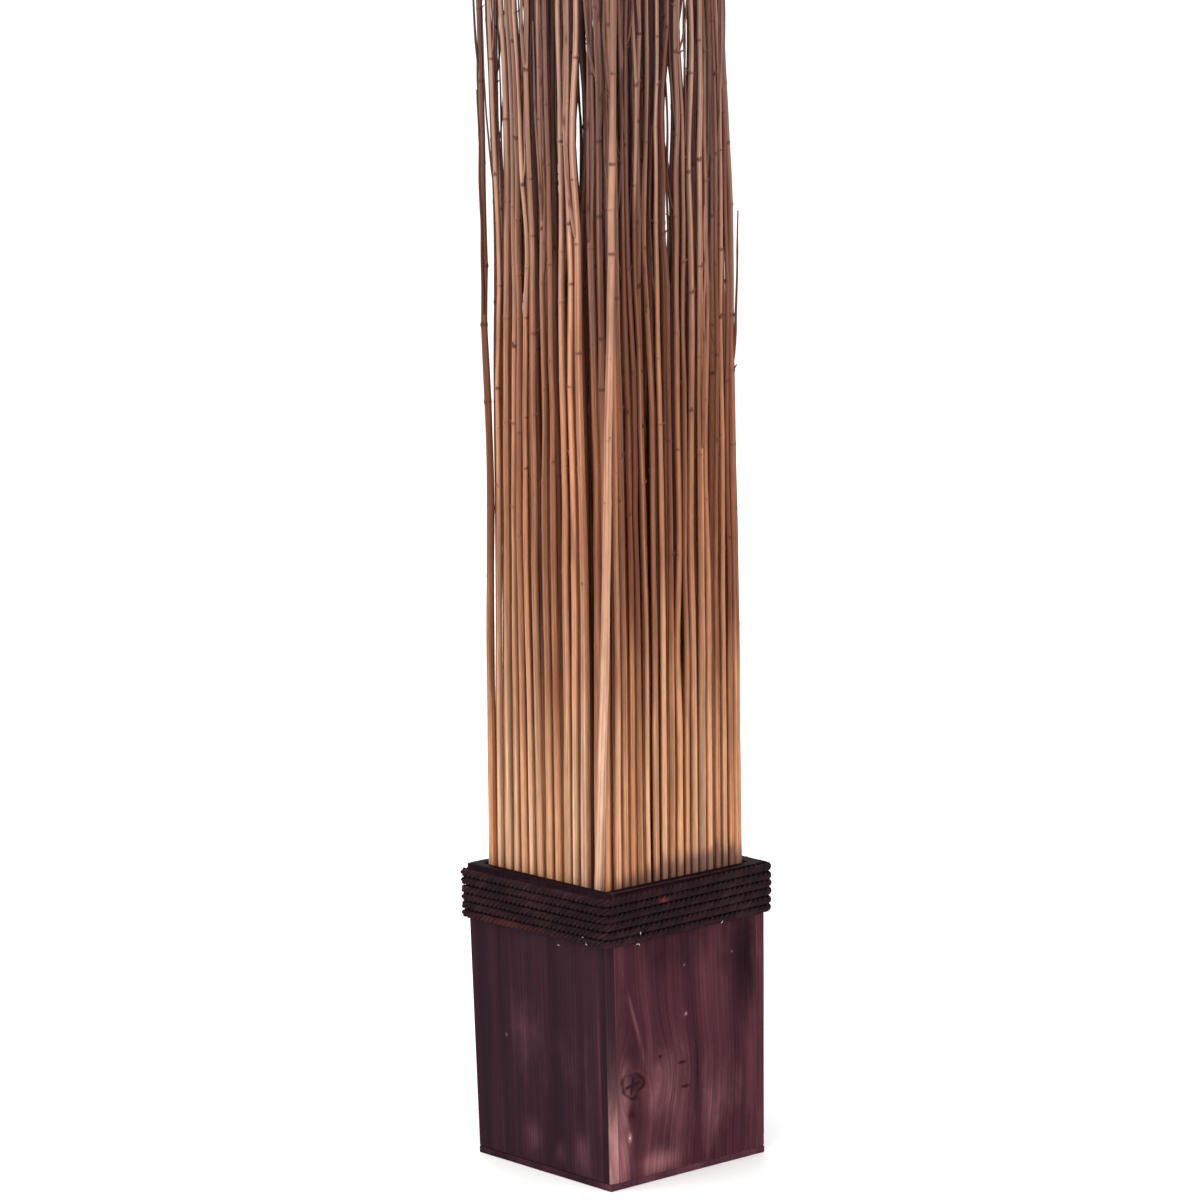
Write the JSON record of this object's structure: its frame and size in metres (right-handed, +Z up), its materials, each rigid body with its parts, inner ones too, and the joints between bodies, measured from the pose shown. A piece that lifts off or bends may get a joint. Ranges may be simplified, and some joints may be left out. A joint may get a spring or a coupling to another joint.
{
  "type": "dried stick bundle in wooden pot",
  "caption": "Tall bundle of dried, tapering natural sticks standing in a square, slightly tapered wooden pot whose rim is wrapped with twisted rope.",
  "frame": {"origin": "centre of the pot's flat underside", "axes": "+Z up along the sticks; -Y is the front face, with the full-width board; +X is the right face"},
  "size_m": [0.187, 0.1642, 1.2001],
  "materials": {
    "stained_wood": "satin",
    "dark_rope": "matte",
    "steel_wire": "satin",
    "cast_ballast": "matte",
    "dry_foam": "matte",
    "pale_stick": "satin",
    "outer_stick": "satin",
    "inner_stick": "satin"
  },
  "bodies": {
    "pot": {"front_board": "stained_wood", "back_board": "stained_wood", "left_board": "stained_wood", "right_board": "stained_wood", "bottom_panel": "stained_wood", "corner_brads": "steel_wire", "bottom_brads": "steel_wire", "rope_wrap": "dark_rope", "rope_staples": "steel_wire", "ballast_block": "cast_ballast"},
    "stick_bundle": {"foam_base": "dry_foam", "foam_core": "dry_foam", "tall_corner_stick": "pale_stick", "front_outer_sticks_1": "outer_stick", "front_outer_sticks_2": "outer_stick", "front_outer_sticks_3": "outer_stick", "right_outer_sticks_1": "outer_stick", "right_outer_sticks_2": "outer_stick", "right_outer_sticks_3": "outer_stick", "back_outer_sticks_1": "outer_stick", "back_outer_sticks_2": "outer_stick", "back_outer_sticks_3": "outer_stick", "left_outer_sticks_1": "outer_stick", "left_outer_sticks_2": "outer_stick", "left_outer_sticks_3": "outer_stick", "front_middle_sticks_1": "inner_stick", "front_middle_sticks_2": "inner_stick", "right_middle_sticks_1": "inner_stick", "right_middle_sticks_2": "inner_stick", "back_middle_sticks_1": "inner_stick", "back_middle_sticks_2": "inner_stick", "left_middle_sticks_1": "inner_stick", "left_middle_sticks_2": "inner_stick", "front_inner_sticks": "inner_stick", "right_inner_sticks": "inner_stick", "back_inner_sticks": "inner_stick", "left_inner_sticks": "inner_stick"}
  },
  "joints": [
    {"name": "bundle_lift", "type": "slide", "parent": "pot", "child": "stick_bundle", "axis": [0, 0, 1], "range_m": [0, 0.18]}
  ]
}
